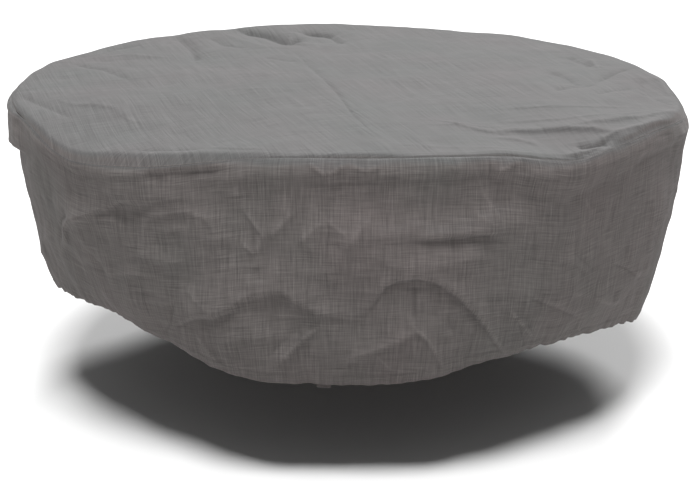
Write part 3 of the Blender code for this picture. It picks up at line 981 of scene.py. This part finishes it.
def cloth_material(name, warp_turn, coarse, draw, contrast):
    """Matt woven polyester: uneven threads both ways, faint patches and a soft sheen.

    A flat cloth has its warp turned. On one that stands in a ring, the warp runs down.
    Its colour also holds painted shade in creases and painted light and shade by facing.
    """
    material, tree, shader = new_material(name)
    cloth = attribute(tree, "weave", "Vector")
    if warp_turn:
        turn = (0.0, 0.0, warp_turn)
        cloth = node(tree, "ShaderNodeMapping", Vector=cloth, Rotation=turn).outputs[0]

    def threads(way, size, drawn):
        """Noise that is fine across the threads and long along them."""
        along = size * drawn
        if warp_turn:
            scale = (size, along, 0.0) if way == "warp" else (along, size, 0.0)
        else:
            scale = (size, size, along) if way == "warp" else (along, along, size)
        return stretched_noise(tree, cloth, scale, 1.0, 0.6)

    coarse_warp = threads("warp", coarse, draw)
    fine_warp = threads("warp", 410.0, draw)
    coarse_weft = threads("weft", coarse * 1.04, draw)
    fine_weft = threads("weft", 430.0, 0.032)
    warp = maths(tree, "MULTIPLY_ADD", fine_warp, 1.7, coarse_warp)
    weft = maths(tree, "MULTIPLY_ADD", fine_weft, 1.7, coarse_weft)
    both = maths(tree, "MULTIPLY_ADD", weft, 0.85, warp)
    patch = stretched_noise(tree, cloth, (7.0, 7.0, 7.0), 3.0, 0.6)
    uneven = maths(tree, "MULTIPLY", both, maths(tree, "MULTIPLY_ADD", patch, 0.6, 1.0))
    large = stretched_noise(tree, cloth, (2.2, 2.2, 3.0), 3.0, 0.55)
    tint = stretched_noise(tree, cloth, (3.1, 3.1, 2.6))
    light = maths(tree, "MULTIPLY_ADD", uneven, contrast, 1.0)
    light = maths(tree, "MULTIPLY_ADD", large, 0.035, light)
    # Painted shade in creases: the colour is darker where the cloth lies in below its neighbours.
    hollow = maths(tree, "MULTIPLY", attribute(tree, "hollow", "Fac"), 0.9)
    painted_crease_shade = maths(tree, "MULTIPLY_ADD", maths(tree, "TANH", hollow), -0.17, 1.0)
    light = maths(tree, "MULTIPLY", light, painted_crease_shade)
    # Painted light and shade by facing: the cloth is painted paler where it hangs and darker
    # where it faces up.
    painted_facing_tone = node(tree, "ShaderNodeMapRange", {"interpolation_type": "SMOOTHSTEP"},
                 Value=attribute(tree, "facing", "Fac"), From_Min=0.10, From_Max=0.82)
    red = maths(tree, "MULTIPLY_ADD", tint, 0.07, 1.0)
    blue = maths(tree, "MULTIPLY_ADD", tint, 0.02, 1.0)
    combined = node(tree, "ShaderNodeCombineColor")
    channels = zip(combined.inputs, HANGING_COLOUR_PAINTED_LIGHTER, LYING_COLOUR_PAINTED_DARKER, (red, 1.0, blue))
    for socket, side, top, shift in channels:
        tone = maths(tree, "MULTIPLY_ADD", painted_facing_tone.outputs[0], top - side, side)
        tone = maths(tree, "MULTIPLY", light, tone)
        tree.links.new(maths(tree, "MULTIPLY", tone, shift), socket)
    roughness = maths(tree, "MULTIPLY_ADD", uneven, 0.03, 0.86)
    plug(tree, shader, Base_Color=combined.outputs[0], Roughness=roughness,
         Specular_IOR_Level=0.14, Sheen_Weight=CLOTH_SHEEN, Sheen_Roughness=0.45,
         Sheen_Tint=(0.9, 0.88, 0.88, 1.0))
    bumped(tree, shader, both, 0.0005, 0.35)
    return material


def thread_material():
    """Polyester sewing thread, a shade darker than the cloth."""
    material, tree, shader = new_material("sewing_thread")
    place = attribute(tree, "weave", "Vector")
    twist = stretched_noise(tree, place, (1500.0, 1500.0, 1500.0))
    roughness = maths(tree, "MULTIPLY_ADD", twist, 0.08, 0.55)
    plug(tree, shader, Base_Color=THREAD_COLOUR, Roughness=roughness)
    bumped(tree, shader, twist, 0.0001, 0.5)
    return material


def floor_material():
    """Plain pale matt floor."""
    material, tree, shader = new_material("pale_floor")
    plug(tree, shader, Base_Color=FLOOR_COLOUR, Roughness=0.9, Specular_IOR_Level=0.1)
    return material


# ---- the tab
def tab_material():
    """Dark ribbed tape."""
    material, tree, shader = new_material("tab_weave")
    place = attribute(tree, "weave", "Vector")
    ribs = stretched_noise(tree, place, (150.0, 150.0, 1400.0))
    shade = stretched_noise(tree, place, (60.0, 60.0, 60.0))
    light = maths(tree, "MULTIPLY_ADD", ribs, 0.16, 1.0)
    light = maths(tree, "MULTIPLY_ADD", shade, 0.10, light)
    combined = node(tree, "ShaderNodeCombineColor")
    for socket, value in zip(combined.inputs, TAB_COLOUR):
        tree.links.new(maths(tree, "MULTIPLY", light, value), socket)
    plug(tree, shader, Base_Color=combined.outputs[0], Roughness=0.7, Sheen_Weight=0.2)
    bumped(tree, shader, ribs, 0.0003, 0.5)
    return material


def make_tab(material):
    """A blank strip of tape, sewn inside the hem and hanging a little below it."""
    lowest, highest = (np.array(corner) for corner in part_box("hem_tab"))
    turn = math.radians(TAB_ANGLE + 90.0)
    across = np.array((math.cos(turn), math.sin(turn), 0.0))
    outward = np.array((across[1], -across[0], 0.0))
    x, down = np.meshgrid(np.linspace(-1.0, 1.0, TAB_COLUMNS), np.linspace(0.0, 1.0, TAB_ROWS))
    height = highest[2] - down * (highest[2] - lowest[2])
    cut_corner = np.maximum(down - 0.93, 0.0) / 0.07
    sideways = x * TAB_WIDTH / 2 * (1 - 0.012 * cut_corner**2)
    near_edge = np.minimum(1 - np.abs(x), (1 - down) * 2.0)
    worn = np.maximum(1 - near_edge / 0.03, 0.0)
    half_thick = TAB_THICKNESS / 2 * (1 - 0.6 * worn**2)
    curl = 0.0009 * np.sin(2.3 * x + 0.6) * down - 0.0006 * down**2
    middle = (lowest + highest) / 2 + sideways[..., None] * across
    middle[..., 2] = height
    sides = [middle + (curl + side * half_thick)[..., None] * outward for side in (1, -1)]
    points = np.concatenate(sides).reshape(-1, 3)
    weave = np.stack((sideways, np.zeros(x.shape), height), axis=-1)
    weave = np.concatenate((weave, weave)).reshape(-1, 3)
    number = np.arange(x.size).reshape(x.shape)
    corners = (number[:-1, :-1], number[1:, :-1], number[1:, 1:], number[:-1, 1:])
    front = np.stack(corners, axis=-1).reshape(-1, 4)
    faces = front.tolist() + (front[:, ::-1] + x.size).tolist()
    sides = (number[0], number[1:, -1], number[-1, -2::-1], number[-2:0:-1, 0])
    border = np.concatenate(sides)
    ahead = np.roll(border, -1)
    faces += np.stack((border, ahead, ahead + x.size, border + x.size), axis=-1).tolist()
    return make_object("tab_tape", points, faces, weave, material)


# ---- stage, light and camera
def make_stage():
    """A plain pale floor, large enough to fill every view."""
    mesh = bpy.data.meshes.new("floor_plane")
    reach = 60.0
    corners = ((-reach, -reach), (reach, -reach), (reach, reach), (-reach, reach))
    mesh.from_pydata([(x, y, -FLOOR_DROP) for x, y in corners], [], [(0, 1, 2, 3)])
    mesh.materials.append(floor_material())
    plane = placed("floor_plane", mesh)


def make_lights():
    """A soft high light from the front, one from behind, and a little from all round."""
    world = bpy.data.worlds.new("studio")
    world.use_nodes = True
    background = world.node_tree.nodes["Background"]
    background.inputs["Color"].default_value = (1.0, 1.0, 1.0, 1.0)
    background.inputs["Strength"].default_value = AMBIENT
    bpy.context.scene.world = world
    for name, power, spread, elevation, turn in LIGHTS:
        light = bpy.data.lights.new(name, "SUN")
        light.energy = power
        light.angle = math.radians(spread)
        lamp = placed(name, light)
        lamp.rotation_euler = (math.radians(90.0 - elevation), 0.0, math.radians(turn))


def make_camera():
    """The photo's camera."""
    data = bpy.data.cameras.new("camera")
    data.lens = CAMERA_LENS
    data.sensor_width = CAMERA_SENSOR
    camera = placed("camera", data)
    camera.location = CAMERA_PLACE
    camera.rotation_euler = (math.radians(CAMERA_TILT), 0.0, 0.0)
    bpy.context.scene.camera = camera


def build():
    """Every piece, with what it rides and replaces, and the stage round it."""
    bpy.context.scene.view_settings.view_transform = "Standard"
    top = make_top(cloth_material("top_weave", TOP_WARP_TURN, 160.0, 0.012, 0.21))
    skirt, outer = make_skirt(cloth_material("skirt_weave", 0.0, 225.0, 0.038, 0.23))
    thread = thread_material()
    seam_stitches = stitch_row("seam_stitches", outer, SEAM_STITCH_SHARE, thread)
    hem_stitches = stitch_row("hem_stitches", outer, HEM_STITCH_SHARE, thread)
    tab = make_tab(tab_material())
    for piece, name, slot in ((top, "top_panel", "cover_cloth"), (skirt, "skirt", "cover_cloth"),
                              (seam_stitches, "skirt", "cover_cloth"),
                              (hem_stitches, "skirt", "cover_cloth"),
                              (tab, "hem_tab", "tab_cloth")):
        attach(piece, "root")
        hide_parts(name)
    make_stage()
    make_lights()
    make_camera()


build()
